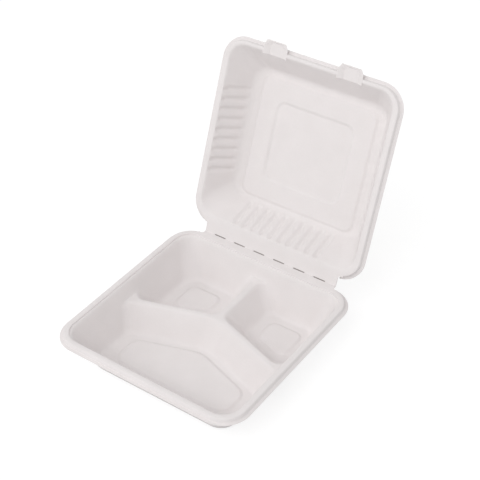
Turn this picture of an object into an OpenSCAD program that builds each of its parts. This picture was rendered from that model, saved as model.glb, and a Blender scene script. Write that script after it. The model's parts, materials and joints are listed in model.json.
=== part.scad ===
// Three-compartment lunch box of moulded plant fibre, standing open: a tray and a hinged lid
// X runs along the hinge, Y from the front of the tray to the hinge, Z up from the table
// The origin is on the table, under the middle of the open box

/* [Pulp wall] */
// Thickness of the tray's pulp
wall = 1; // [0.8:0.1:1.1]
// Thickness of the lid's pulp
lid_wall = 0.85; // [0.7:0.05:1.1]

/* [Tray] */
// Width of the tray over its rim lip
tray_w = 200; // [190:1:230]
// Length of the tray over its rim lip, front to back
tray_l = 200; // [192:1:230]
// Corner radius of the tray's rim lip
tray_corner_r = 26; // [23:1:30]
// Depth inside the tray, rim to floor
tray_depth = 40.5; // [36:0.5:46]
// Lean of the tray's outer walls from upright
tray_draft = 21; // [15:0.5:22]
// Corner radius of the tray's outer walls
tray_wall_r = 16; // [13:1:19]
// Radius where the walls and dividers run into the floor
tray_foot_r = 6; // [4:0.5:8]

/* [Rim] */
// Width of the flat lip round the rim
lip_w = 3; // [2.5:0.25:4]
// Height of the rim above its lip
lip_drop = 4; // [3:0.25:5]
// Lean of the skirt between lip and rim
skirt_lean = 0.6; // [0.2:0.1:1]
// Rounding of the rim's outer edge
rim_round = 1.1; // [0.6:0.1:1.4]
// Width of the tray's flat rim
flange_w = 5.1; // [4.5:0.1:7]
// Depth of the step inside the tray's rim
step_depth = 1.8; // [1:0.1:2.4]
// Width of the step inside the tray's rim
step_w = 1.7; // [1.2:0.1:2.6]

/* [Dividers] */
// Depth of the dividers' tops below the rim
ridge_drop = 15.5; // [12:0.5:19]
// Width of the dividers' tops before rounding
ridge_w = 6; // [5.5:0.25:8]
// Rounding along the dividers' tops
ridge_r = 3; // [2:0.25:4]
// Lean of the dividers' sides from upright
ridge_draft = 31.5; // [26:0.5:34]
// Place of the bent divider's middle behind the tray's centre
bend_y = 19.3; // [12:0.1:24]
// Angle by which each arm of the bent divider comes forward
bend_angle = 18; // [12:1:22]
// Radius of the bend on the large compartment's side
bend_r = 34; // [24:1:40]
// Corner radius of the compartments at the dividers
nook_r = 10; // [8:0.5:12]

/* [Floor panels] */
// Height of the raised panels in the tray's floors
panel_rise = 1.6; // [1:0.1:2.2]
// Width of the sloping edge round a panel
panel_slope = 1.6; // [1:0.1:2.5]
// Margin between the large compartment's side walls and its panel
large_margin = 12.5; // [10:0.5:16]
// Margin between the tray's front wall and the large panel
front_margin = 15; // [11:0.5:18]
// Margin between the bent divider and the large panel
bend_margin = 7; // [6:0.5:12]
// Margin between the small compartments' walls and their panels
small_margin = 10.5; // [9:0.5:12]
// Corner radius of the large panel
large_panel_r = 13; // [9:0.5:15]
// Corner radius of the small panels
panel_r = 8; // [6:0.5:9]

/* [Lid] */
// How much narrower the lid is than the tray
lid_narrower = 8; // [4:0.5:12]
// How much shorter the lid is than the tray
lid_shorter = 12.5; // [11:0.5:16]
// Distance from the fold to the lid's lip
lid_setback = 6.5; // [6:0.25:8]
// Corner radius of the lid's rim lip
lid_corner_r = 24; // [21:1:28]
// Depth inside the lid, rim to floor
lid_depth = 31.5; // [27:0.5:36]
// Width of the lid's flat rim at its sides
lid_flange_side = 5.5; // [4.5:0.25:7]
// Width of the lid's flat rim at the hinge
lid_flange_back = 6.5; // [5:0.25:8]
// Width of the lid's flat rim at the front
lid_flange_front = 3; // [2:0.25:4]
// Lean of the lid's side walls from upright
lid_side_draft = 26; // [20:1:28]
// Lean of the lid's front and hinge walls from upright
lid_end_draft = 34; // [28:1:36]
// Corner radius of the lid's walls
lid_wall_r = 16; // [13:1:18]
// Radius where the lid's walls run into its floor
lid_foot_r = 7; // [5:0.5:9]

/* [Lid panels] */
// Height of the field raised in the lid's floor
field_rise = 1.5; // [1:0.1:2]
// Width of the sloping edges in the lid's floor
field_slope = 1.5; // [1:0.1:2.5]
// Margin between the lid's side walls and the field
field_side = 9; // [7:0.5:12]
// Margin between the lid's hinge wall and the field
field_back = 3; // [2:0.5:6]
// Margin between the lid's front wall and the field
field_front = 6; // [4:0.5:9]
// Width of the field round the sunk square
field_w = 20; // [14:0.5:26]
// Corner radius of the lid's panels
field_r = 9; // [6:0.5:11]

/* [Lid flutes] */
// Number of flutes on the hinge wall
back_flutes = 10; // [4:1:10]
// Number of flutes on each side wall
side_flutes = 9; // [3:1:9]
// Distance from flute to flute
flute_pitch = 10.15; // [9:0.05:10.6]
// Width of a flute at the wall's face
flute_w = 5.8; // [4.5:0.1:7]
// Depth of a flute
flute_depth = 1.2; // [0.8:0.1:1.5]
// Distance down the wall from the rim to the flutes
flute_start = 1.5; // [1:0.5:6]
// Distance up the wall from the floor to the flutes
flute_end = 4; // [3:0.5:8]

/* [Lock tabs] */
// Distance of each tab's middle from the middle of the lid
tab_x = 39.5; // [32:0.5:46]
// Width of a tab's trough where it crosses the lip
tab_w = 26; // [22:0.5:30]
// Width of a tab at its outer end
tab_end_w = 20; // [18:0.5:22]
// Width of the trough's floor
tab_floor_w = 15; // [11:0.5:16]
// Reach of a tab past the lid's lip
tab_reach = 5; // [4:0.25:6]
// How far a tab's outer end leans
tab_lean = 1.2; // [0.5:0.1:2]

/* [Hinge] */
// Distance from the tray's side to the end of the hinge strip
strip_inset = 25.5; // [25:0.5:34]
// Radius in the corners at the strip's ends
strip_r = 2.4; // [1:0.1:2.8]
// Distance from the tray's back edge to the fold
fold_y = 0.5; // [0.4:0.1:1.5]
// Gap left between the two closed rims
rim_gap = 0.4; // [0.3:0.1:0.8]
// Gap left along the fold on each side
fold_gap = 0.15; // [0.15:0.05:0.25]
// Angle of the lid's rim above the level, as the box stands
open_angle = 69; // [60:1:72]
// Number of slits along the fold
slit_count = 6; // [3:1:6]
// Distance from slit to slit
slit_pitch = 22.7; // [19:0.1:23.5]
// Length of a slit
slit_l = 12.5; // [8:0.1:15]
// Reach of a slit to each side of the fold
slit_reach = 0.7; // [0.5:0.1:1]

/* [Hidden] */
pulp_colour = [0.95, 0.93, 0.91];
arc_steps = 7;
foot_steps = 4;
top_steps = 3;
foot_turn = 72;
top_turn = 58;
flute_facets = 12;
cut = 1;
bury = wall / 2;
nudge = 0.05;

// Heights in the tray, from the table
floor_z = wall;
rim_z = floor_z + tray_depth;
step_z = rim_z - step_depth;
ridge_z = rim_z - ridge_drop;

// The tray's outlines, as distances from its middle
half_w = tray_w / 2;
half_l = tray_l / 2;
rim_edge = lip_w + skirt_lean;
hole_inset = rim_edge + flange_w;
wall_inset = hole_inset + step_w;
foot_inset = wall_inset + (tray_depth - step_depth) * tan(tray_draft);
strip_half = half_w - strip_inset;

// The dividers, as distances of their faces from their middle lines
ridge_h = ridge_z - floor_z;
arm_c = bend_y * cos(bend_angle);
ridge_foot = ridge_w / 2 + ridge_h * tan(ridge_draft);

// The lid lies in its own frame: the fold is the X axis and the lid's inside faces up
fold_z = rim_z + rim_gap / 2;
lid_top = -rim_gap / 2;
lid_floor = lid_top - lid_depth;
lid_half_w = half_w - lid_narrower / 2;
lid_back = lid_setback;
lid_front = lid_back + tray_l - lid_shorter;
lid_hole = [[0, lid_half_w - rim_edge - lid_flange_side, lid_side_draft],
    [90, lid_front - rim_edge - lid_flange_front, lid_end_draft],
    [180, lid_half_w - rim_edge - lid_flange_side, lid_side_draft],
    [270, -lid_back - rim_edge - lid_flange_back, lid_end_draft]];
tab_sink = lip_drop - lid_wall / 2;

// Shapes are stacks of level rings; a side is [angle of its outward normal, distance, lean]
function meet(a, b) = let (s = sin(b[0] - a[0]))
    [(a[1] * sin(b[0]) - b[1] * sin(a[0])) / s, (b[1] * cos(a[0]) - a[1] * cos(b[0])) / s];
function next_side(sides, i) = i + 1 < len(sides) ? sides[i + 1] : [sides[0][0] + 360, sides[0][1]];
function corner(a, b, r, steps) = let (c = meet([a[0], a[1] - r], [b[0], b[1] - r]))
    [for (i = [0:steps])
        let (t = a[0] + (b[0] - a[0]) * i / steps) c + r * [cos(t), sin(t)]];
function ring(sides, radii, z, steps = arc_steps) =
    [for (i = [0:len(sides) - 1], p = corner(sides[i], next_side(sides, i), radii[i], steps))
        [p.x, p.y, z]];
function box_sides(w, l) = [[0, w], [90, l], [180, w], [270, l]];
function box_radii(r) = [r, r, r, r];
function grown(sides, by) = [for (s = sides) [s[0], s[1] + by]];
function even(sides, r) = [for (s = sides) r];

// How far a rounded edge of radius r stands off the sharp one, at height h above it
function ease(h, lean, r) = h < r * (1 - sin(lean))
    ? r * tan(45 - lean / 2) - sqrt(max(0, r * r - (r - h) * (r - h))) + h * tan(lean) : 0;
// Outward move of a sharp foot when a wall of the given lean is made thicker outside
function skin(t, lean) = t * (1 - sin(lean)) / cos(lean);
function foot_heights(r) = [for (i = [0:foot_steps]) r * (1 - cos(i * foot_turn / foot_steps))];

// A stack of rings made solid
module loft(rings) {
    n = len(rings[0]);
    m = len(rings);
    polyhedron(
        points = [for (r = rings, p = r) p],
        faces = concat(
            [[for (i = [0:n - 1]) i]],
            [[for (i = [0:n - 1]) m * n - 1 - i]],
            [for (k = [0:m - 2], i = [0:n - 1])
                let (a = k * n + i, d = k * n + (i + 1) % n)
                each [[a, a + n, d + n], [a, d + n, d]]]
        )
    );
}

// The turned-down rim with its flat lip, open below
module rim(sides, r, top, t) {
    lip_z = top - lip_drop;
    outer = [[0, lip_z - t], [0, lip_z], [lip_w, lip_z],
        [rim_edge, top - rim_round],
        [rim_edge + rim_round * (1 - cos(45)), top - rim_round * (1 - sin(45))],
        [rim_edge + rim_round, top]];
    inner = [[lip_w + t, lip_z - t - cut], [lip_w + t, lip_z],
        [rim_edge + t, top - max(rim_round, t + nudge)],
        [rim_edge + max(rim_round, t + nudge), top - t]];
    difference() {
        loft([for (p = outer) ring(grown(sides, -p[0]), even(sides, r - p[0]), p[1])]);
        loft([for (p = inner) ring(grown(sides, -p[0]), even(sides, r - p[0]), p[1])]);
    }
}

// One compartment, as its hollow or with the pulp round it (skinned), up to the dividers' tops
// A side is [angle, distance of its foot, lean, 1 for a divider or 0 for an outer wall]
function pocket_rings(sides, radii, skinned) =
    let (
        t = skinned ? wall : 0,
        h_top = ridge_h,
        foot = tray_foot_r + t,
        top = ridge_r - t,
        low = foot_heights(foot),
        high = [for (i = [top_steps:-1:0]) h_top - top * (1 - cos(i * top_turn / top_steps))]
    )
    [for (h = concat(low, high, [h_top + bury]))
        ring(
            [for (s = sides) [s[0], s[1] + skin(t, s[2])
                + min(h, h_top) * tan(s[2]) - ease(h, s[2], foot)
                + (s[3] == 1 ? ease(max(0, h_top - h), s[2], top) : -nudge)]],
            [for (r = radii) max(nudge, r + t - ease(h, ridge_draft, foot))],
            floor_z - t + h
        )];

function large_pocket() = [
    [0, half_w - foot_inset, tray_draft, 0],
    [90 - bend_angle, arm_c - ridge_foot, ridge_draft, 1],
    [90 + bend_angle, arm_c - ridge_foot, ridge_draft, 1],
    [180, half_w - foot_inset, tray_draft, 0],
    [270, half_l - foot_inset, tray_draft, 0]];
large_radii = [nook_r, bend_r, nook_r, tray_wall_r, tray_wall_r];
large_margins = [large_margin, bend_margin, bend_margin, large_margin, front_margin];
function small_pocket() = [
    [0, half_w - foot_inset, tray_draft, 0],
    [90, half_l - foot_inset, tray_draft, 0],
    [180, -ridge_foot, ridge_draft, 1],
    [270 - bend_angle, -arm_c - ridge_foot, ridge_draft, 1]];
small_radii = [tray_wall_r, nook_r, nook_r, nook_r];

// A raised panel's body, or the hollow under it when it is dropped by the wall
module panel(sides, radii, drop) {
    shift = drop > 0 ? wall * tan(atan2(panel_rise, panel_slope) / 2) : 0;
    z = floor_z - drop;
    loft([
        ring(grown(sides, -shift), radii, z - cut),
        ring(grown(sides, -shift), radii, z),
        ring(grown(sides, -shift - panel_slope), radii - [for (r = radii) panel_slope / 2],
            z + panel_rise)
    ]);
}

module tray_panels(drop) {
    large = large_pocket();
    panel([for (i = [0:len(large) - 1]) [large[i][0], large[i][1] - large_margins[i]]],
        [large_panel_r, bend_r - bend_margin, large_panel_r, large_panel_r, large_panel_r], drop);
    for (m = [0, 1])
        mirror([m, 0, 0])
            panel(grown(small_pocket(), -small_margin), even(small_pocket(), panel_r), drop);
}

module pockets(skinned) {
    loft(pocket_rings(large_pocket(), large_radii, skinned));
    for (m = [0, 1])
        mirror([m, 0, 0])
            loft(pocket_rings(small_pocket(), small_radii, skinned));
}

// The tub above the dividers, up to the rim
module tub(skinned) {
    t = skinned ? wall : 0;
    side = skinned ? wall / cos(tray_draft) : 0;
    low = ridge_z - t;
    mid = step_z - t;
    top = skinned ? rim_z - bury : rim_z + cut;
    low_in = wall_inset + (step_z - low) * tan(tray_draft) - side;
    mid_in = wall_inset + t * tan(tray_draft) - side;
    step_in = hole_inset - t;
    loft([
        ring(box_sides(half_w - low_in, half_l - low_in), box_radii(tray_wall_r + t), low),
        ring(box_sides(half_w - mid_in, half_l - mid_in), box_radii(tray_wall_r + t), mid),
        ring(box_sides(half_w - step_in, half_l - step_in), box_radii(tray_corner_r - step_in), mid),
        ring(box_sides(half_w - step_in, half_l - step_in), box_radii(tray_corner_r - step_in), top)
    ]);
}

// A level band between two lines across the box
module band(half, y_a, y_b) {
    translate([-half, min(y_a, y_b)])
        square([2 * half, abs(y_b - y_a)]);
}

// Half of the hinge strip, from the rim's edge to the gap along the fold
module strip(edge_y, to_y, top, t) {
    inside = sign(edge_y - to_y) * rim_round;
    shoulder = edge_y + inside / 3;
    translate([0, 0, top - t])
        linear_extrude(t)
            offset(r = -strip_r, $fn = 32)
                offset(delta = strip_r) {
                    band(strip_half, edge_y + 2 * inside, to_y);
                    band(strip_half + 2 * strip_r, edge_y + 2 * inside, shoulder);
                }
}

// Room cleared under the strip, where the rim has no skirt or lip
module strip_room(edge_y, to_y, top, t) {
    inside = sign(edge_y - to_y) * rim_round;
    translate([0, 0, top - lip_drop - t - cut])
        linear_extrude(lip_drop + cut)
            band(strip_half, edge_y + inside, to_y + (to_y > edge_y ? cut : -cut));
}

module slits(y) {
    for (i = [0:slit_count - 1])
        translate([(i - (slit_count - 1) / 2) * slit_pitch - slit_l / 2, y - slit_reach, -cut])
            cube([slit_l, 2 * slit_reach, rim_z + 2 * cut]);
}

module tray_shell() {
    sides = box_sides(half_w, half_l);
    rim_y = half_l - rim_edge;
    hinge_y = half_l + fold_y;
    difference() {
        union() {
            difference() {
                rim(sides, tray_corner_r, rim_z, wall);
                strip_room(rim_y, hinge_y, rim_z, wall);
            }
            strip(rim_y, hinge_y - fold_gap, rim_z, wall);
            tub(true);
            pockets(true);
        }
        tub(false);
        difference() {
            pockets(false);
            tray_panels(0);
        }
        tray_panels(wall);
        slits(hinge_y);
    }
}

// The lid's bowl, as its hollow or with the pulp round it
function bowl_rings(skinned) =
    let (t = skinned ? lid_wall : 0, foot = lid_foot_r + t)
    [for (h = concat(foot_heights(foot), [lid_depth + t / 2],
            skinned ? [] : [lid_depth + foot]))
        ring(
            [for (s = lid_hole) [s[0], s[1] + skin(t, s[2])
                - (lid_depth - min(h, lid_depth + t)) * tan(s[2]) - ease(h, s[2], foot)]],
            even(lid_hole, lid_wall_r + t - ease(h, lid_side_draft, foot)),
            lid_floor - t + h
        )];

lid_foot = [for (s = lid_hole) [s[0], s[1] - lid_depth * tan(s[2])]];
field = [for (i = [0:3]) [lid_foot[i][0],
    lid_foot[i][1] - [field_side, field_front, field_side, field_back][i]]];

// The raised frame in the lid's floor, or the hollow under it
module lid_field(drop) {
    radii = even(field, field_r);
    shift = drop > 0 ? lid_wall * tan(atan2(field_rise, field_slope) / 2) : 0;
    z = lid_floor - drop;
    difference() {
        loft([
            ring(grown(field, -shift), radii, z - cut),
            ring(grown(field, -shift), radii, z),
            ring(grown(field, -shift - field_slope), radii, z + field_rise)
        ]);
        loft([
            ring(grown(field, -field_w - 2 * field_slope + shift), radii, z - 2 * cut),
            ring(grown(field, -field_w - 2 * field_slope + shift), radii, z),
            ring(grown(field, -field_w - field_slope + shift), radii, z + field_rise + nudge)
        ]);
    }
}

flute_r = (flute_w * flute_w / 4 + flute_depth * flute_depth) / (2 * flute_depth);
flute_off = flute_r - flute_depth;

// One flute down a wall that leans inwards from the rim point [y, 0]
module flute(lean, grow) {
    slope_l = lid_depth / cos(lean);
    ends = [flute_start + flute_w / 2, slope_l - flute_end - flute_w / 2];
    hull()
        for (s = ends)
            translate([0, s * sin(lean) + flute_off * cos(lean),
                lid_top - s * cos(lean) + flute_off * sin(lean)])
                sphere(r = flute_r + grow, $fn = flute_facets);
}

module flutes(grow) {
    mid = (lid_back + lid_front) / 2;
    for (i = [0:back_flutes - 1])
        translate([(i - (back_flutes - 1) / 2) * flute_pitch, -lid_hole[3][1], 0])
            flute(lid_end_draft, grow);
    for (m = [0, 1], i = [0:side_flutes - 1])
        mirror([m, 0, 0])
            translate([lid_hole[0][1], mid + (i - (side_flutes - 1) / 2) * flute_pitch, 0])
                rotate([0, 0, 90])
                    flute(lid_side_draft, grow);
}

// A lock tab: a trough through the front rim and past the lip, closed at its outer end
tab_taper = atan2((tab_w - tab_end_w) / 2, tab_reach);
function tab_ring(half, near, far, z) =
    let (sides = [[0, half], [tab_taper, half * cos(tab_taper)], [90, far],
        [180 - tab_taper, half * cos(tab_taper)], [180, half], [270, -near]])
    ring(sides, [1, 2, 2, 1, 0.5, 0.5] * lid_wall, z, 3);

module tab_body(near) {
    loft([
        tab_ring(tab_floor_w / 2 + lid_wall, near, tab_reach - tab_lean,
            lid_top - tab_sink - lid_wall),
        tab_ring(tab_w / 2, near, tab_reach, lid_top)
    ]);
}

module tab_trough(near) {
    far = tab_reach - lid_wall;
    loft([
        tab_ring(tab_floor_w / 2, near, far - tab_lean, lid_top - tab_sink),
        tab_ring(tab_w / 2 - lid_wall, near, far, lid_top),
        tab_ring(tab_w / 2 - lid_wall, near, far, lid_top + cut)
    ]);
}

module lid_shell() {
    sides = [[0, lid_half_w], [90, lid_front], [180, lid_half_w], [270, -lid_back]];
    rim_y = lid_back + rim_edge;
    near = lid_hole[1][1] - lid_front - tab_sink * tan(lid_end_draft);
    difference() {
        union() {
            difference() {
                rim(sides, lid_corner_r, lid_top, lid_wall);
                strip_room(rim_y, 0, lid_top, lid_wall);
            }
            strip(rim_y, fold_gap, lid_top, lid_wall);
            loft(bowl_rings(true));
            flutes(lid_wall);
            for (x = [-tab_x, tab_x])
                translate([x, lid_front, 0])
                    tab_body(near);
        }
        difference() {
            loft(bowl_rings(false));
            lid_field(0);
        }
        lid_field(lid_wall);
        flutes(0);
        for (x = [-tab_x, tab_x])
            translate([x, lid_front, 0])
                tab_trough(near - lid_wall);
        translate([0, 0, -rim_z])
            slits(0);
    }
}

// The open lid's furthest point back puts the origin under the middle of the box
lid_far = max([for (r = bowl_rings(true), p = r) p.y * cos(open_angle) - p.z * sin(open_angle)]);
mid_y = (fold_y + lid_far) / 2;

module tray() {
    color(pulp_colour)
        translate([0, -mid_y, 0])
            tray_shell();
}

module lid() {
    color(pulp_colour)
        translate([0, half_l + fold_y - mid_y, fold_z])
            rotate([open_angle, 0, 0])
                lid_shell();
}

tray();
lid();
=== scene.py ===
# A lunch box of moulded plant fibre, standing open: a divided tray, a fluted lid and the fold between them
# Sizes are in millimetres up to the end of each making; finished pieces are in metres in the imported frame
import json
import math

import bpy
import numpy as np
from mathutils import Matrix, Vector


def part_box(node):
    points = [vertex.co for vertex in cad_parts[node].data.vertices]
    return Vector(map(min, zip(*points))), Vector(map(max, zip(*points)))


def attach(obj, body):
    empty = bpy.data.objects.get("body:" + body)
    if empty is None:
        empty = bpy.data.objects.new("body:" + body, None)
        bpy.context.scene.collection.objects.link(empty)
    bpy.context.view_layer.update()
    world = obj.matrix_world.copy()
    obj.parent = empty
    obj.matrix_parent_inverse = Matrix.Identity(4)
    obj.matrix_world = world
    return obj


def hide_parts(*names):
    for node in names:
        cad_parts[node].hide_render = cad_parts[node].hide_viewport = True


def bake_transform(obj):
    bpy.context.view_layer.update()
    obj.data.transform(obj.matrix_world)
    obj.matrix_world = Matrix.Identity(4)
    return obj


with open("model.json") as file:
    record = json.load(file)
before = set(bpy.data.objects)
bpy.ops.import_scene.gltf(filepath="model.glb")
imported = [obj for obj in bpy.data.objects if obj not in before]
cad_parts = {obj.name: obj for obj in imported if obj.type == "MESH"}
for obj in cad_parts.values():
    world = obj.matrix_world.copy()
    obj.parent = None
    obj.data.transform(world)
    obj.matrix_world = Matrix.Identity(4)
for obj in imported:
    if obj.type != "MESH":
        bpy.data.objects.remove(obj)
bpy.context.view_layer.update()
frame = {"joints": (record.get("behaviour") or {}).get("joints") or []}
MM = 0.001

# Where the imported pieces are
tray_low, tray_high = (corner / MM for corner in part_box("tray"))
hinge = frame["joints"][0]
fold_point = Vector(hinge["pos_m"]) / MM
open_angle = -hinge["range_deg"][0]

# The pulp
TRAY_WALL = 1.0
LID_WALL = 0.85
SOFT_EDGE = 0.45
GRID_STEP = 1.05
MAP_CELL = 0.5
MAP_SPARE = 8
HALVINGS = 16
SHARP_ANGLE = 38

# The rim, shared by tray and lid
LIP_W = 3.0
LIP_DROP = 4.0
SKIRT_LEAN = 0.6
RIM_ROUND = 1.1
SKIRT_FOOT_R = 0.7
LIP_EDGE = ((0.5, 0.0), (0.12, 0.1), (0.0, 0.35))
RIM_EDGE = LIP_W + SKIRT_LEAN

# The tray, about its own middle
TRAY_HALF = (tray_high.x - tray_low.x) / 2
TRAY_CORNER_R = 26.0
TRAY_MIDDLE = Vector((0, tray_low.y + TRAY_HALF, 0))
RIM_Z = tray_high.z
FLOOR_Z = TRAY_WALL
STEP_DEPTH = 1.8
FLANGE_W = 5.1
STEP_W = 1.7
STEP_LEAN = 0.1
STEP_FOOT_R = 0.45
STEP_TOP_R = 0.6
TRAY_DRAFT = 21.0
TRAY_WALL_R = 16.0
FOOT_R = 6.0
HOLE_INSET = RIM_EDGE + FLANGE_W
WALL_INSET = HOLE_INSET + STEP_W
STEP_H = RIM_Z - STEP_DEPTH - FLOOR_Z
WALL_TOP = TRAY_HALF - WALL_INSET
WALL_FOOT = WALL_TOP - STEP_H * math.tan(math.radians(TRAY_DRAFT))

# The dividers
RIDGE_H = RIM_Z - 15.5 - FLOOR_Z
RIDGE_W = 6.0
RIDGE_R = 3.0
RIDGE_DRAFT = 31.5
BEND_Y = 19.3
BEND_ANGLE = 18.0
BEND_R = 34.0
NOOK_R = 10.0
RIDGE_FOOT = RIDGE_W / 2 + RIDGE_H * math.tan(math.radians(RIDGE_DRAFT))
ARM = BEND_Y * math.cos(math.radians(BEND_ANGLE))

# The panels raised in the tray's floors
PANEL_RISE = 1.6
PANEL_SLOPE = 0.8
LARGE_MARGINS = (12.5, 7.0, 7.0, 12.5, 15.0)
LARGE_PANEL_R = (13.0, 27.0, 13.0, 13.0, 13.0)
SMALL_MARGIN = 10.5
SMALL_PANEL_R = 8.0

# The lid, in the frame of the fold: the fold is the X axis and the lid's inside faces up
LID_HALF = TRAY_HALF - 4.0
LID_BACK = 6.5
LID_FRONT = LID_BACK + 187.5
LID_CORNER_R = 24.0
LID_TOP = RIM_Z - fold_point.z
LID_DEPTH = 31.5
LID_FLANGES = (5.5, 3.0, 5.5, 6.5)
LID_DRAFTS = (26.0, 34.0, 26.0, 34.0)
LID_WALL_R = 16.0
LID_FOOT_R = 7.0
FIELD_MARGINS = (9.0, 6.0, 9.0, 3.0)
FIELD_RISE = 1.5
FIELD_SLOPE = 0.7
FIELD_W = 20.0
FIELD_R = 9.0

# The flutes pressed into the lid's hinge wall and side walls
FLUTE_PITCH = 10.15
FLUTE_W = 8.0
FLUTE_DEPTH = 2.1
FLUTE_START = 0.8
FLUTE_END = 3.0
BACK_FLUTES = 10
SIDE_FLUTES = 9

# The lock tabs on the lid's front
TAB_X = 39.5
TAB_W = 26.0
TAB_END_W = 20.0
TAB_FLOOR_W = 15.0
TAB_REACH = 5.0
TAB_LEAN = 1.2
TAB_TILT = 2.2
TAB_EDGE = 0.35
TAB_CORNER_R = 1.3
TAB_FILLET = ((0.8, 0.7, 0), (0.2, 0.2, 0.2), (-0.1, 0, 0.6))
TAB_SINK = LIP_DROP - LID_WALL / 2

# The strip along the fold, with its slits
STRIP_HALF = 74.5
STRIP_R = 2.4
FOLD_GAP = 0.15
SLITS = 6
SLIT_PITCH = 22.7
SLIT_L = 12.5
SLIT_REACH = 0.45
# SKIN is the thickness of the sheet of painted shade that closes the bottom of each slit
SKIN = 0.2
CREASE_STEPS = 7
CUT_DEPTH = 3
CUTTER_H = 12.0

# The camera at the photograph's place, and the lamps' aim, in metres and degrees
CAMERA_PLACE = Vector((486.95, -666.0, 749.0)) * MM
CAMERA_TURN = 35.775
CAMERA_DOWN = 38.242
CAMERA_ROLL = 0.92
PICTURE_W = 480
FOCAL_PIXELS = 1179.9
LAMP_AIM = Vector((0, 0, 0.06))


def tangent(angle):
    return math.tan(math.radians(angle))


def beyond(x, y, angles, reaches, radii):
    """How far points lie outside a rounded outline; its sides have outward angles and reaches."""
    normals = [(math.cos(math.radians(a)), math.sin(math.radians(a))) for a in angles]
    far = np.max([x * n[0] + y * n[1] - d for n, d in zip(normals, reaches)], axis=0)
    for i, r in enumerate(radii):
        j = (i + 1) % len(angles)
        (ax, ay), (bx, by) = normals[i], normals[j]
        a, b = reaches[i] - r, reaches[j] - r
        turn = ax * by - ay * bx
        u = x - (a * by - b * ay) / turn
        v = y - (b * ax - a * bx) / turn
        in_corner = (ax * v - ay * u > 0) & (u * by - v * bx > 0)
        far = np.where(in_corner, np.hypot(u, v) - r, far)
    return far


def ease(h, lean, r):
    """How far an edge rounded to r stands off the sharp one, at height h above it."""
    h = np.maximum(h, 0)
    arc = r * tangent(45 - lean / 2) - np.sqrt(np.maximum(r * r - (r - h) ** 2, 0)) + h * tangent(lean)
    return np.where(h < r * (1 - math.sin(math.radians(lean))), arc, 0)


def wall_height(x, y, outline_at, low, high):
    """Height at which the widening outline of a hollow reaches each point, or high where it never does."""
    low = np.full_like(x, low)
    high = np.full_like(x, high)
    for _ in range(HALVINGS):
        middle = (low + high) / 2
        inside = beyond(x, y, *outline_at(middle)) <= 0
        high = np.where(inside, middle, high)
        low = np.where(inside, low, middle)
    return high


def pocket_at(h, sides, radii):
    """Outline of a compartment at height h; a side is (angle, reach at its foot, is it a divider)."""
    reaches = []
    for angle, foot, divider in sides:
        lean = RIDGE_DRAFT if divider else TRAY_DRAFT
        top = ease(RIDGE_H - h, lean, RIDGE_R) if divider else 0
        reaches.append(foot + h * tangent(lean) - ease(h, lean, FOOT_R) + top)
    eased = [np.maximum(r - ease(h, RIDGE_DRAFT, FOOT_R), 0.05) for r in radii]
    return [s[0] for s in sides], reaches, eased


def tub_at(h):
    reach = WALL_TOP - (STEP_H - h) * tangent(TRAY_DRAFT)
    return (0, 90, 180, 270), [reach] * 4, [TRAY_WALL_R] * 4


LARGE_POCKET = [(0, WALL_FOOT, False), (90 - BEND_ANGLE, ARM - RIDGE_FOOT, True),
                (90 + BEND_ANGLE, ARM - RIDGE_FOOT, True), (180, WALL_FOOT, False),
                (270, WALL_FOOT, False)]
SMALL_POCKET = [(0, WALL_FOOT, False), (90, WALL_FOOT, False), (180, -RIDGE_FOOT, True),
                (270 - BEND_ANGLE, -ARM - RIDGE_FOOT, True)]
POCKET_SHAPES = [(1, LARGE_POCKET, (NOOK_R, BEND_R, NOOK_R, TRAY_WALL_R, TRAY_WALL_R)),
                 (1, SMALL_POCKET, (TRAY_WALL_R, NOOK_R, NOOK_R, NOOK_R)),
                 (-1, SMALL_POCKET, (TRAY_WALL_R, NOOK_R, NOOK_R, NOOK_R))]


def panel_height(x, y, sides, margins, radii, rise, slope):
    reaches = [side[1] - margin for side, margin in zip(sides, margins)]
    inward = -beyond(x, y, [side[0] for side in sides], reaches, radii)
    return rise * np.clip(inward / slope, 0, 1)


def tray_heights(x, y):
    """Inside of the tray, up to the ledge of the rim's step."""
    tub = wall_height(x, y, tub_at, RIDGE_H, STEP_H)
    floor = np.full_like(x, RIDGE_H)
    for side, sides, radii in POCKET_SHAPES:
        pocket = wall_height(side * x, y, lambda h: pocket_at(h, sides, radii), 0, RIDGE_H)
        floor = np.minimum(floor, pocket)
    inside = np.where(tub > RIDGE_H + 0.01, tub, floor)
    panels = panel_height(x, y, LARGE_POCKET, LARGE_MARGINS, LARGE_PANEL_R, PANEL_RISE, PANEL_SLOPE)
    for side in (1, -1):
        panels += panel_height(side * x, y, SMALL_POCKET, [SMALL_MARGIN] * 4, [SMALL_PANEL_R] * 4,
                               PANEL_RISE, PANEL_SLOPE)
    return FLOOR_Z + np.maximum(inside, panels)


LID_HOLE = [LID_HALF - RIM_EDGE - LID_FLANGES[0], LID_FRONT - RIM_EDGE - LID_FLANGES[1],
            LID_HALF - RIM_EDGE - LID_FLANGES[2], -LID_BACK - RIM_EDGE - LID_FLANGES[3]]


def bowl_at(h):
    reaches = [reach - (LID_DEPTH - h) * tangent(lean) - ease(h, lean, LID_FOOT_R)
               for reach, lean in zip(LID_HOLE, LID_DRAFTS)]
    return (0, 90, 180, 270), reaches, [LID_WALL_R - ease(h, LID_DRAFTS[0], LID_FOOT_R)] * 4


def lid_heights(x, y):
    """Inside of the lid, up to its rim, with the field raised in its floor."""
    bowl = wall_height(x, y, bowl_at, 0, LID_DEPTH)
    feet = [(90 * i, LID_HOLE[i] - LID_DEPTH * tangent(LID_DRAFTS[i])) for i in range(4)]
    radii = [FIELD_R] * 4
    square = [margin + FIELD_W + FIELD_SLOPE for margin in FIELD_MARGINS]
    field = panel_height(x, y, feet, FIELD_MARGINS, radii, FIELD_RISE, FIELD_SLOPE)
    field -= panel_height(x, y, feet, square, radii, FIELD_RISE, FIELD_SLOPE)
    return LID_TOP - LID_DEPTH + np.maximum(bowl, field)


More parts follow.
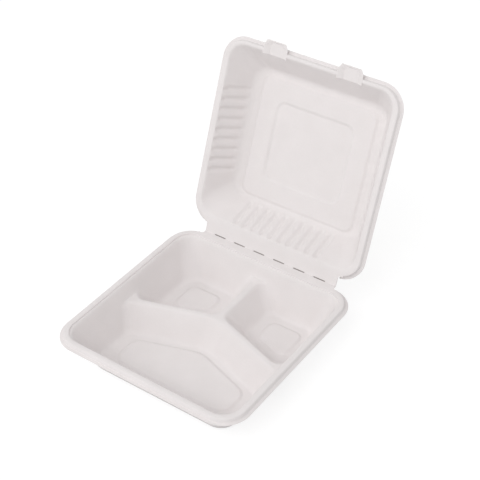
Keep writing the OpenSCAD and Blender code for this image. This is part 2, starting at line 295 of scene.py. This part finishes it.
def softened(heights):
    """A height map with every edge softened, as damp pulp leaves it."""
    passes = round(2 * (SOFT_EDGE / MAP_CELL) ** 2)
    for _ in range(passes):
        for axis in (0, 1):
            back = np.roll(heights, 1, axis)
            ahead = np.roll(heights, -1, axis)
            heights = (back + 2 * heights + ahead) / 4
    return heights


def soft_surface(height_of, middle, half_x, half_y):
    """A function that gives the softened height at any point over the stated area."""
    columns = np.arange(-half_x - MAP_SPARE, half_x + MAP_SPARE, MAP_CELL)
    rows = np.arange(-half_y - MAP_SPARE, half_y + MAP_SPARE, MAP_CELL)
    x, y = np.meshgrid(columns + middle[0], rows + middle[1])
    heights = softened(height_of(x, y))

    def at(px, py):
        u = (px - middle[0] - columns[0]) / MAP_CELL
        v = (py - middle[1] - rows[0]) / MAP_CELL
        i = np.floor(u).astype(int)
        j = np.floor(v).astype(int)
        s = u - i
        t = v - j
        near = heights[j, i] * (1 - s) + heights[j, i + 1] * s
        far = heights[j + 1, i] * (1 - s) + heights[j + 1, i + 1] * s
        return near * (1 - t) + far * t

    return at


def round_corners(x, y, half_x, half_y, r):
    """Bends the corners of a square grid onto arcs of radius r."""
    p = np.maximum(np.abs(x) - (half_x - r), 0)
    q = np.maximum(np.abs(y) - (half_y - r), 0)
    in_corner = (p > 0) & (q > 0)
    share = np.minimum(p, q) / np.where(in_corner, np.maximum(p, q), 1)
    turn = math.pi / 4 * np.where(p >= q, share, 2 - share)
    reach = np.maximum(p, q)
    bent_x = np.sign(x) * (half_x - r + reach * np.cos(turn))
    bent_y = np.sign(y) * (half_y - r + reach * np.sin(turn))
    return np.where(in_corner, bent_x, x), np.where(in_corner, bent_y, y)


def rounded(corners, steps=3):
    """A profile with each corner (inset, height, radius) rounded off."""
    points = [Vector(c[:2]) for c in corners]
    line = [points[0]]
    for i in range(1, len(corners) - 1):
        back = (points[i - 1] - points[i]).normalized()
        ahead = (points[i + 1] - points[i]).normalized()
        half = back.angle(ahead) / 2
        run = corners[i][2] / math.tan(half)
        centre = points[i] + (back + ahead).normalized() * corners[i][2] / math.sin(half)
        start = points[i] + back * run - centre
        end = points[i] + ahead * run - centre
        for k in range(steps + 1):
            share = k / steps
            arm = start.normalized().slerp(end.normalized(), share) * corners[i][2]
            line.append(centre + arm)
    line.append(points[-1])
    return line


def pulp_sheet(name, hole, lip, profile, height_at):
    """The upper skin of a moulding: a fine grid inside the hole, and rings out to the lip's edge.

    hole and lip are (middle x, middle y, half x, half y, corner radius)."""
    mx, my, hx, hy, r = hole
    columns = np.linspace(-hx, hx, math.ceil(2 * hx / GRID_STEP) + 1)
    rows = np.linspace(-hy, hy, math.ceil(2 * hy / GRID_STEP) + 1)
    across, along = len(columns), len(rows)
    x, y = round_corners(*np.meshgrid(columns, rows), hx, hy, r)
    points = [np.stack([x + mx, y + my, height_at(x + mx, y + my)], axis=-1).reshape(-1, 3)]
    faces = [(k, k + 1, k + 1 + across, k + across)
             for row in range(along - 1) for k in range(row * across, row * across + across - 1)]
    edge = [*range(across - 1), *range(across - 1, along * across - 1, across),
            *range(along * across - 1, (along - 1) * across, -1), *range((along - 1) * across, 0, -across)]
    spot = points[0][edge, :2] - (mx, my)
    core = np.clip(spot, (r - hx, r - hy), (hx - r, hy - r))
    outward = (spot - core) / r
    lx, ly, lhx, lhy, lr = lip
    core_out = core * ((lhx - lr) / (hx - r), (lhy - lr) / (hy - r)) + (lx, ly)
    inner = edge
    count = across * along
    for inset, height in profile:
        ring = core_out + outward * (lr - inset)
        points.append(np.column_stack([ring, np.full(len(ring), height)]))
        outer = list(range(count, count + len(ring)))
        count += len(ring)
        for k in range(len(ring)):
            n = (k + 1) % len(ring)
            faces.append((inner[k], outer[k], outer[n], inner[n]))
        inner = outer
    mesh = bpy.data.meshes.new(name)
    mesh.from_pydata(np.concatenate(points).tolist(), [], faces)
    return bpy.data.objects.new(name, mesh)


def applied(thing):
    """Turns an object's modifiers into plain mesh."""
    if thing.name not in bpy.context.scene.collection.objects:
        bpy.context.scene.collection.objects.link(thing)
    bpy.context.view_layer.update()
    evaluated = thing.evaluated_get(bpy.context.evaluated_depsgraph_get())
    mesh = bpy.data.meshes.new_from_object(evaluated)
    thing.modifiers.clear()
    thing.data = mesh
    return thing


def thickened(thing, wall):
    """Gives a sheet its wall below the skin it has; the second material is the underside's."""
    solid = thing.modifiers.new("Wall", "SOLIDIFY")
    solid.thickness = wall
    solid.offset = -1
    solid.use_quality_normals = True
    solid.material_offset = 1
    return applied(thing)


def joined(thing, other, operation):
    """Adds another solid to a moulding, or cuts it away."""
    bpy.context.scene.collection.objects.link(other)
    cut = thing.modifiers.new("Cut", "BOOLEAN")
    cut.operation = operation
    cut.solver = "MANIFOLD"
    cut.object = other
    applied(thing)
    bpy.data.objects.remove(other)
    return thing


def prism(name, outline, low, high):
    """A level plate with the stated outline, anticlockwise from above."""
    n = len(outline)
    points = [(x, y, z) for z in (low, high) for x, y in outline]
    faces = [tuple(range(n - 1, -1, -1)), tuple(range(n, 2 * n))]
    faces += [(k, (k + 1) % n, n + (k + 1) % n, n + k) for k in range(n)]
    mesh = bpy.data.meshes.new(name)
    mesh.from_pydata(points, [], faces)
    return bpy.data.objects.new(name, mesh)


def strip_outline(edge, fold):
    """Half of the hinge strip, from inside the rim's edge to the fold, with hollow corners at its ends."""
    way = 1 if fold > edge else -1
    inside = edge - way * 2 * RIM_ROUND
    shoulder = edge - way * RIM_ROUND / 3
    right = [(STRIP_HALF + 2 * STRIP_R, inside), (STRIP_HALF + 2 * STRIP_R, shoulder)]
    for k in range(7):
        turn = math.radians(90 * k / 6)
        right.append((STRIP_HALF + STRIP_R - STRIP_R * math.sin(turn),
                      shoulder + way * STRIP_R * (1 - math.cos(turn))))
    right.append((STRIP_HALF, fold))
    outline = right + [(-x, y) for x, y in reversed(right)]
    return outline if way > 0 else outline[::-1]


class Wire:
    """A value in a node tree: sums written with it become Math nodes."""

    def __init__(self, tree, socket):
        self.tree = tree
        self.socket = socket

    def math(self, operation, *others):
        node = self.tree.nodes.new("ShaderNodeMath")
        node.operation = operation
        for socket, value in zip(node.inputs, (self, *others)):
            if isinstance(value, Wire):
                self.tree.links.new(value.socket, socket)
            else:
                socket.default_value = value
        return Wire(self.tree, node.outputs[0])

    def __add__(self, other):
        return self.math("ADD", other)

    def __sub__(self, other):
        return self.math("SUBTRACT", other)

    def __mul__(self, other):
        return self.math("MULTIPLY", other)

    def __truediv__(self, other):
        return self.math("DIVIDE", other)


def give_finish(tree, geometry, material):
    """Ends a node tree: plain mesh with the stated material."""
    real = tree.nodes.new("GeometryNodeRealizeInstances")
    tree.links.new(geometry, real.inputs["Geometry"])
    finish = tree.nodes.new("GeometryNodeSetMaterial")
    tree.links.new(real.outputs["Geometry"], finish.inputs["Geometry"])
    tree.links.new(material, finish.inputs["Material"])
    out = tree.nodes.new("NodeGroupOutput")
    tree.links.new(finish.outputs["Geometry"], out.inputs["Geometry"])
    return tree


def slit_tree():
    """Node tree: a row of slit-shaped bars along the fold."""
    tree = bpy.data.node_groups.new("Slits along the fold", "GeometryNodeTree")
    for label, kind in (("Slits", "NodeSocketInt"), ("Pitch", "NodeSocketFloat"),
                        ("Slit size", "NodeSocketVector"), ("Finish", "NodeSocketMaterial")):
        tree.interface.new_socket(label, in_out="INPUT", socket_type=kind)
    tree.interface.new_socket("Geometry", in_out="OUTPUT", socket_type="NodeSocketGeometry")
    given = tree.nodes.new("NodeGroupInput").outputs
    row_length = (Wire(tree, given["Slits"]) - 1) * Wire(tree, given["Pitch"])
    place = tree.nodes.new("ShaderNodeCombineXYZ")
    tree.links.new((row_length * -0.5).socket, place.inputs["X"])
    step = tree.nodes.new("ShaderNodeCombineXYZ")
    tree.links.new(given["Pitch"], step.inputs["X"])
    row = tree.nodes.new("GeometryNodeMeshLine")
    tree.links.new(given["Slits"], row.inputs["Count"])
    tree.links.new(place.outputs[0], row.inputs["Start Location"])
    tree.links.new(step.outputs[0], row.inputs["Offset"])
    bar = tree.nodes.new("GeometryNodeMeshCube")
    tree.links.new(given["Slit size"], bar.inputs["Size"])
    bars = tree.nodes.new("GeometryNodeInstanceOnPoints")
    tree.links.new(row.outputs["Mesh"], bars.inputs["Points"])
    tree.links.new(bar.outputs["Mesh"], bars.inputs["Instance"])
    return give_finish(tree, bars.outputs["Instances"], given["Finish"])


def flute_tree():
    """Node tree: presses a row of round-ended flutes into a leaning wall, square to it."""
    tree = bpy.data.node_groups.new("Flutes down a wall", "GeometryNodeTree")
    tree.interface.new_socket("Geometry", in_out="INPUT", socket_type="NodeSocketGeometry")
    for label in ("Rim middle", "Along", "Inward"):
        tree.interface.new_socket(label, in_out="INPUT", socket_type="NodeSocketVector")
    for label in ("Flutes", "Pitch", "Width", "Depth", "Lean", "First end", "Last end"):
        tree.interface.new_socket(label, in_out="INPUT", socket_type="NodeSocketFloat")
    tree.interface.new_socket("Finish", in_out="INPUT", socket_type="NodeSocketMaterial")
    tree.interface.new_socket("Geometry", in_out="OUTPUT", socket_type="NodeSocketGeometry")
    given = tree.nodes.new("NodeGroupInput").outputs
    wire = {label: Wire(tree, given[label])
            for label in ("Flutes", "Pitch", "Width", "Depth", "Lean", "First end", "Last end")}

    def vector(operation, first, second):
        node = tree.nodes.new("ShaderNodeVectorMath")
        node.operation = operation
        tree.links.new(first, node.inputs[0])
        if operation == "SCALE":
            tree.links.new(second, node.inputs["Scale"])
        else:
            tree.links.new(second, node.inputs[1])
        return node.outputs["Value" if operation == "DOT_PRODUCT" else "Vector"]

    position = tree.nodes.new("GeometryNodeInputPosition").outputs[0]
    spot = vector("SUBTRACT", position, given["Rim middle"])
    sideways = Wire(tree, vector("DOT_PRODUCT", spot, given["Along"]))
    inwards = Wire(tree, vector("DOT_PRODUCT", spot, given["Inward"]))
    up = tree.nodes.new("ShaderNodeSeparateXYZ")
    tree.links.new(spot, up.inputs[0])
    height = Wire(tree, up.outputs["Z"])
    sine = wire["Lean"].math("SINE")
    cosine = wire["Lean"].math("COSINE")
    down = inwards * sine - height * cosine

    half_row = wire["Flutes"] * 0.5 - 0.5
    number = (sideways / wire["Pitch"] + half_row).math("ROUND").math("MAXIMUM", 0)
    number = number.math("MINIMUM", wire["Flutes"] - 1)
    off_axis = sideways - (number - half_row) * wire["Pitch"]
    past_end = (wire["First end"] - down).math("MAXIMUM", down - wire["Last end"]).math("MAXIMUM", 0)
    off = (off_axis * off_axis + past_end * past_end).math("SQRT")
    share = (off / (wire["Width"] * 0.5)).math("MINIMUM", 1)
    depth = ((share * math.pi).math("COSINE") * 0.5 + 0.5) * wire["Depth"]

    upward = tree.nodes.new("ShaderNodeCombineXYZ")
    tree.links.new((sine * -1).socket, upward.inputs["Z"])
    back = vector("SCALE", given["Inward"], (cosine * -1).socket)
    into_wall = vector("ADD", back, upward.outputs[0])
    push = vector("SCALE", into_wall, depth.socket)
    pressed = tree.nodes.new("GeometryNodeSetPosition")
    tree.links.new(given["Geometry"], pressed.inputs["Geometry"])
    tree.links.new(push, pressed.inputs["Offset"])
    return give_finish(tree, pressed.outputs["Geometry"], given["Finish"])


def run_tree(thing, tree, values):
    """Gives an object a node tree with named inputs set, and keeps what it makes as plain mesh."""
    nodes = thing.modifiers.new(tree.name, "NODES")
    nodes.node_group = tree
    for item in tree.interface.items_tree:
        if item.in_out == "INPUT" and item.name in values:
            nodes[item.identifier] = values[item.name]
    return applied(thing)


def press_flutes(lid, finish):
    """The flutes of the hinge wall and of both side walls."""
    tree = flute_tree()
    middle_y = (LID_BACK + LID_FRONT) / 2
    walls = [(BACK_FLUTES, (0, -LID_HOLE[3]), (1, 0), (0, 1), LID_DRAFTS[3]),
             (SIDE_FLUTES, (LID_HOLE[0], middle_y), (0, 1), (-1, 0), LID_DRAFTS[0]),
             (SIDE_FLUTES, (-LID_HOLE[0], middle_y), (0, 1), (1, 0), LID_DRAFTS[0])]
    for flutes, middle, along, inward, lean in walls:
        slope = LID_DEPTH / math.cos(math.radians(lean))
        run_tree(lid, tree, {
            "Rim middle": (*middle, LID_TOP), "Along": (*along, 0), "Inward": (*inward, 0),
            "Flutes": float(flutes), "Pitch": FLUTE_PITCH, "Width": FLUTE_W, "Depth": FLUTE_DEPTH,
            "Lean": math.radians(lean), "First end": FLUTE_START + FLUTE_W / 2,
            "Last end": slope - FLUTE_END - FLUTE_W / 2, "Finish": finish})
    return lid


def tab_ring(half, near, far, z, r):
    """Outline of a lock tab at one level, narrower towards its outer end, with rounded outer corners."""
    end = half - (TAB_W - TAB_END_W) / 2
    points = [Vector((-half, near)), Vector((-half, 0)), Vector((-end, far)),
              Vector((end, far)), Vector((half, 0)), Vector((half, near))]
    line = rounded([(*p, r) for p in points], steps=5)
    return [(p.x, p.y, z) for p in reversed(line)]


def loft(name, rings):
    """A stack of rings made solid, from the lowest up; the rings run anticlockwise."""
    n = len(rings[0])
    points = [p for ring in rings for p in ring]
    faces = [tuple(range(n - 1, -1, -1)), tuple(range((len(rings) - 1) * n, len(rings) * n))]
    for level in range(len(rings) - 1):
        for k in range(n):
            a = level * n + k
            b = level * n + (k + 1) % n
            faces.append((a, b, b + n, a + n))
    mesh = bpy.data.meshes.new(name)
    mesh.from_pydata(points, [], faces)
    return bpy.data.objects.new(name, mesh)


def lock_tab(trough):
    """One lock tab as a solid, or the trough pressed into it."""
    near = LID_HOLE[1] - LID_FRONT - TAB_SINK * tangent(LID_DRAFTS[1])
    wall = LID_WALL if trough else 0
    far = TAB_REACH - wall
    floor_half = TAB_FLOOR_W / 2 + LID_WALL - wall
    height = TAB_SINK + LID_WALL - wall
    top_half = TAB_W / 2 - wall
    levels = [(floor_half - side, far - TAB_LEAN - end, up) for side, end, up in TAB_FILLET]
    levels.append((top_half - 0.1, far - 0.1, height - TAB_EDGE))
    if trough:
        levels.append((top_half + TAB_EDGE, far + TAB_EDGE, height))
        levels.append((top_half + 2 * TAB_EDGE, far + 2 * TAB_EDGE, height + 1))
    else:
        levels.append((top_half - TAB_EDGE / 3, far, height))
    foot = LID_TOP - height
    rings = []
    for half, reach, h in levels:
        tilt = TAB_TILT * max(0, 1 - h / height) / (TAB_REACH - near)
        ring = tab_ring(half, near - wall, reach, foot + h, TAB_CORNER_R)
        rings.append([(x, y, z + tilt * (y - near)) for x, y, z in ring])
    return loft("tab", rings)


def finished(thing, place):
    """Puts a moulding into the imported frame, in metres, with smooth faces."""
    thing.data.transform(place @ Matrix.Scale(MM, 4))
    thing.data.polygons.foreach_set("use_smooth", [True] * len(thing.data.polygons))
    thing.data.set_sharp_from_angle(angle=math.radians(SHARP_ANGLE))
    thing.data.update()
    return thing


def rim_profile(top, inner):
    """The rim's section from the flange outwards: rounded edge, skirt, hollow corner and flat lip."""
    lip_z = top - LIP_DROP
    corners = [*inner, (RIM_EDGE, top, RIM_ROUND), (LIP_W, lip_z, SKIRT_FOOT_R), (0.0, lip_z, 0)]
    line = rounded(corners)
    line[-1:] = [Vector((inset, lip_z - drop)) for inset, drop in LIP_EDGE]
    return line


def make_tray(face, underside, slits):
    ledge_z = RIM_Z - STEP_DEPTH
    ledge = WALL_INSET - STEP_W / 2
    hole = (0, 0, TRAY_HALF - ledge, TRAY_HALF - ledge, TRAY_CORNER_R - ledge)
    lip = (0, 0, TRAY_HALF, TRAY_HALF, TRAY_CORNER_R)
    riser = [(ledge - STEP_LEAN, ledge_z), (HOLE_INSET, ledge_z, STEP_FOOT_R),
             (HOLE_INSET - STEP_LEAN, RIM_Z, STEP_TOP_R)]
    heights = soft_surface(tray_heights, (0, 0), hole[2], hole[3])
    tray = pulp_sheet("tray_moulding", hole, lip, rim_profile(RIM_Z, riser), heights)
    tray.data.materials.append(face)
    tray.data.materials.append(underside)
    thickened(tray, TRAY_WALL)
    edge = TRAY_HALF - RIM_EDGE
    fold = fold_point.y - TRAY_MIDDLE.y
    room = [(-STRIP_HALF, edge - RIM_ROUND), (STRIP_HALF, edge - RIM_ROUND),
            (STRIP_HALF, fold + 1), (-STRIP_HALF, fold + 1)]
    joined(tray, prism("room", room, RIM_Z - LIP_DROP - CUT_DEPTH, RIM_Z - TRAY_WALL), "DIFFERENCE")
    strip = prism("strip", strip_outline(edge, fold - FOLD_GAP), RIM_Z - TRAY_WALL, RIM_Z)
    joined(tray, strip, "UNION")
    joined(tray, slits((0, fold, RIM_Z)), "DIFFERENCE")
    return finished(tray, Matrix.Translation(TRAY_MIDDLE * MM))


def make_lid(face, underside, slits):
    spare = 1.0
    half_y = (LID_HOLE[1] + LID_HOLE[3]) / 2 + spare
    hole = (0, (LID_HOLE[1] - LID_HOLE[3]) / 2, LID_HOLE[0] + spare, half_y, LID_WALL_R + spare)
    lip = (0, (LID_FRONT + LID_BACK) / 2, LID_HALF, (LID_FRONT - LID_BACK) / 2, LID_CORNER_R)
    heights = soft_surface(lid_heights, hole[:2], hole[2], hole[3])
    flange = [(RIM_EDGE + RIM_ROUND + 0.2, LID_TOP)]
    lid = pulp_sheet("lid_moulding", hole, lip, rim_profile(LID_TOP, flange), heights)
    lid.data.materials.append(face)
    press_flutes(lid, face)
    lid.data.materials.append(underside)
    thickened(lid, LID_WALL)
    edge = LID_BACK + RIM_EDGE
    room = [(-STRIP_HALF, -1), (STRIP_HALF, -1),
            (STRIP_HALF, edge + RIM_ROUND), (-STRIP_HALF, edge + RIM_ROUND)]
    joined(lid, prism("room", room, LID_TOP - LIP_DROP - CUT_DEPTH, LID_TOP - LID_WALL), "DIFFERENCE")
    joined(lid, prism("strip", strip_outline(edge, FOLD_GAP), LID_TOP - LID_WALL, LID_TOP), "UNION")
    joined(lid, slits((0, 0, LID_TOP)), "DIFFERENCE")
    for trough in (False, True):
        for x in (-TAB_X, TAB_X):
            tab = lock_tab(trough)
            tab.data.transform(Matrix.Translation((x, LID_FRONT, 0)))
            joined(lid, tab, "DIFFERENCE" if trough else "UNION")
    turn = Matrix.Rotation(math.radians(open_angle), 4, "X")
    return finished(lid, Matrix.Translation(fold_point * MM) @ turn)


def web_section(half, top, thickness):
    """Section of the pulp along the fold, from the tray's side to the lid's: points on its two faces."""
    faces = ([], [])
    turn = math.radians(open_angle)
    for share in np.linspace(0, 1, CREASE_STEPS):
        bend = share * turn
        start = half * (2 * share - 1)
        bottom = -(abs(LID_TOP) + TRAY_WALL * (1 - share) + LID_WALL * share)
        for line, depth in zip(faces, (min(top, bottom + thickness), bottom)):
            line.append((start * math.cos(bend) - depth * math.sin(bend),
                         start * math.sin(bend) + depth * math.cos(bend)))
    return faces


def make_crease(face, slit_painted_shade):
    """The pulp that bends along the fold, whole between the slits, and a thin skin at the bottom of each slit
    coloured dark as painted shade, where the open slit shows only shade.
    """
    ends = [-STRIP_HALF]
    for k in range(SLITS):
        middle = (k - (SLITS - 1) / 2) * SLIT_PITCH
        ends += [middle - SLIT_L / 2, middle + SLIT_L / 2]
    ends.append(STRIP_HALF)
    points = []
    faces = []
    finishes = []
    for i, (left, right) in enumerate(zip(ends, ends[1:])):
        slit = i % 2 == 1
        inner, outer = web_section(SLIT_REACH if slit else FOLD_GAP, LID_TOP, SKIN if slit else 2 * TRAY_WALL)
        outline = outer + inner[::-1]
        base = len(points)
        n = len(outline)
        points += [(x, y, z) for x in (left, right) for y, z in outline]
        faces += [(base + k, base + (k + 1) % n, base + n + (k + 1) % n, base + n + k) for k in range(n)]
        for k in range(len(outer) - 1):
            a, b = base + k, base + k + 1
            c, d = base + n - 2 - k, base + n - 1 - k
            faces += [(a, d, c, b), (a + n, b + n, c + n, d + n)]
        # The slit skins take the second material, which is painted shade
        finishes += [int(slit)] * (len(faces) - len(finishes))
    mesh = bpy.data.meshes.new("fold_crease")
    mesh.from_pydata(points, [], faces)
    mesh.polygons.foreach_set("material_index", finishes)
    crease = bpy.data.objects.new("fold_crease", mesh)
    crease.data.materials.append(face)
    crease.data.materials.append(slit_painted_shade)
    bpy.context.scene.collection.objects.link(crease)
    return finished(crease, Matrix.Translation(fold_point * MM))


def slit_cutters(finish):
    """A function that makes the row of slit-shaped bars at a stated place."""
    tree = slit_tree()

    def at(place):
        bars = bpy.data.objects.new("slits", bpy.data.meshes.new("slits"))
        size = (SLIT_L, 2 * SLIT_REACH, CUTTER_H)
        run_tree(bars, tree, {"Slits": SLITS, "Pitch": SLIT_PITCH, "Slit size": size, "Finish": finish})
        bpy.context.scene.collection.objects.unlink(bars)
        bars.data.transform(Matrix.Translation(place))
        return bars

    return at


def link_noise(tree, vector, scale, detail, roughness=0.5):
    noise = tree.nodes.new("ShaderNodeTexNoise")
    noise.inputs["Scale"].default_value = scale
    noise.inputs["Detail"].default_value = detail
    noise.inputs["Roughness"].default_value = roughness
    tree.links.new(vector, noise.inputs["Vector"])
    return noise.outputs["Fac"]


def pulp(name, light, dark, meshed):
    """Matt moulded plant fibre: clouded colour, fine fibres and, on its underside, the mould's wire mesh."""
    material = bpy.data.materials.new(name)
    material.use_nodes = True
    tree = material.node_tree
    shader = tree.nodes["Principled BSDF"]
    shader.inputs["Roughness"].default_value = 0.86
    shader.inputs["Specular IOR Level"].default_value = 0.25
    shader.inputs["Sheen Weight"].default_value = 0.05
    shader.inputs["Sheen Roughness"].default_value = 0.6
    place = tree.nodes.new("ShaderNodeTexCoord").outputs["Object"]

    clouds = link_noise(tree, place, 45, 3)
    fibres_place = tree.nodes.new("ShaderNodeMapping")
    fibres_place.inputs["Scale"].default_value = (1, 1.6, 0.6)
    tree.links.new(place, fibres_place.inputs["Vector"])
    fibres = link_noise(tree, fibres_place.outputs[0], 700, 5, 0.7)
    tone = tree.nodes.new("ShaderNodeMix")
    tone.data_type = "FLOAT"
    tone.inputs["Factor"].default_value = 0.45
    tree.links.new(clouds, tone.inputs[2])
    tree.links.new(fibres, tone.inputs[3])
    ramp = tree.nodes.new("ShaderNodeValToRGB")
    ramp.color_ramp.elements[0].position = 0.3
    ramp.color_ramp.elements[0].color = (*dark, 1)
    ramp.color_ramp.elements[1].position = 0.7
    ramp.color_ramp.elements[1].color = (*light, 1)
    tree.links.new(tone.outputs[0], ramp.inputs["Fac"])
    tree.links.new(ramp.outputs["Color"], shader.inputs["Base Color"])

    grain = link_noise(tree, place, 260, 4, 0.6)
    height = Wire(tree, fibres) * 0.4 + Wire(tree, grain)
    if meshed:
        for axis in "XY":
            wires = tree.nodes.new("ShaderNodeTexWave")
            wires.bands_direction = axis
            wires.inputs["Scale"].default_value = 260
            wires.inputs["Distortion"].default_value = 0.6
            tree.links.new(place, wires.inputs["Vector"])
            height = height + Wire(tree, wires.outputs["Fac"]) * 0.35
    bump = tree.nodes.new("ShaderNodeBump")
    bump.inputs["Strength"].default_value = 0.35
    bump.inputs["Distance"].default_value = 0.25 * MM
    tree.links.new(height.socket, bump.inputs["Height"])
    tree.links.new(bump.outputs["Normal"], shader.inputs["Normal"])
    return material


def seen_directly(tree):
    """1 for camera, mirror and see-through rays, 0 for light that lands on the object."""
    path = tree.nodes.new("ShaderNodeLightPath").outputs
    direct = Wire(tree, path["Is Camera Ray"]) + Wire(tree, path["Is Glossy Ray"])
    return (direct + Wire(tree, path["Is Transmission Ray"])).math("MINIMUM", 1)


def make_floor():
    """A plain white table that keeps the object's soft shadow."""
    half = 3.0
    floor = prism("floor", [(-half, -half), (half, -half), (half, half), (-half, half)], -0.01, 0)
    bpy.context.scene.collection.objects.link(floor)
    material = bpy.data.materials.new("White table")
    material.use_nodes = True
    tree = material.node_tree
    tree.nodes.clear()
    table = tree.nodes.new("ShaderNodeBsdfDiffuse")
    table.inputs["Color"].default_value = (0.82, 0.82, 0.82, 1)
    shaded = tree.nodes.new("ShaderNodeBsdfDiffuse")
    shaded.inputs["Color"].default_value = (0.3, 0.3, 0.3, 1)
    glow = tree.nodes.new("ShaderNodeEmission")
    glow.inputs["Strength"].default_value = 0.78
    seen = tree.nodes.new("ShaderNodeAddShader")
    tree.links.new(shaded.outputs[0], seen.inputs[0])
    tree.links.new(glow.outputs[0], seen.inputs[1])
    mix = tree.nodes.new("ShaderNodeMixShader")
    tree.links.new(seen_directly(tree).socket, mix.inputs["Fac"])
    tree.links.new(table.outputs[0], mix.inputs[1])
    tree.links.new(seen.outputs[0], mix.inputs[2])
    out = tree.nodes.new("ShaderNodeOutputMaterial")
    tree.links.new(mix.outputs[0], out.inputs["Surface"])
    floor.data.materials.append(material)


def make_world(ambient):
    """White to the eye, and an even light of the stated strength on the object."""
    world = bpy.data.worlds.new("Studio")
    bpy.context.scene.world = world
    world.use_nodes = True
    tree = world.node_tree
    backdrop = tree.nodes["Background"]
    backdrop.inputs["Color"].default_value = (1, 1, 1, 1)
    strength = seen_directly(tree) * (1 - ambient) + ambient
    tree.links.new(strength.socket, backdrop.inputs["Strength"])


def make_lamp(name, place, size, power):
    """A large soft lamp aimed at the box."""
    data = bpy.data.lights.new(name, "AREA")
    data.shape = "DISK"
    data.size = size
    data.energy = power
    lamp = bpy.data.objects.new(name, data)
    lamp.location = place
    aim = LAMP_AIM - Vector(place)
    lamp.rotation_euler = aim.to_track_quat("-Z", "Y").to_euler()
    bpy.context.scene.collection.objects.link(lamp)


def make_camera():
    data = bpy.data.cameras.new("Camera")
    data.sensor_width = 36
    data.lens = data.sensor_width * FOCAL_PIXELS / PICTURE_W
    camera = bpy.data.objects.new("Camera", data)
    turn = Matrix.Rotation(math.radians(CAMERA_TURN), 4, "Z")
    tilt = Matrix.Rotation(math.radians(90 - CAMERA_DOWN), 4, "X")
    roll = Matrix.Rotation(math.radians(-CAMERA_ROLL), 4, "Z")
    camera.matrix_world = Matrix.Translation(CAMERA_PLACE) @ turn @ tilt @ roll
    bpy.context.scene.collection.objects.link(camera)
    bpy.context.scene.camera = camera


make_camera()
make_floor()
make_world(0.66)
make_lamp("Key", (0.3, -1.5, 1.9), 1.4, 17)
make_lamp("Side", (-1.5, -1.35, 1.2), 1.2, 7)
bpy.context.scene.view_settings.view_transform = "Standard"

pulp_face = pulp("Pulp face", (0.815, 0.778, 0.775), (0.775, 0.738, 0.733), False)
pulp_underside = pulp("Pulp underside", (0.805, 0.768, 0.765), (0.765, 0.728, 0.723), True)
# Painted shade: a dark colour on the thin skins in the slits, standing for the shade seen in the open cuts
painted_slit_shade = pulp("Painted shade in the slits", (0.4, 0.36, 0.35), (0.32, 0.29, 0.28), False)
slits = slit_cutters(pulp_face)

tray = make_tray(pulp_face, pulp_underside, slits)
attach(tray, "tray")
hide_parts("tray")

lid = make_lid(pulp_face, pulp_underside, slits)
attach(lid, "lid")
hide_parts("lid")

crease = make_crease(pulp_face, painted_slit_shade)
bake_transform(crease)
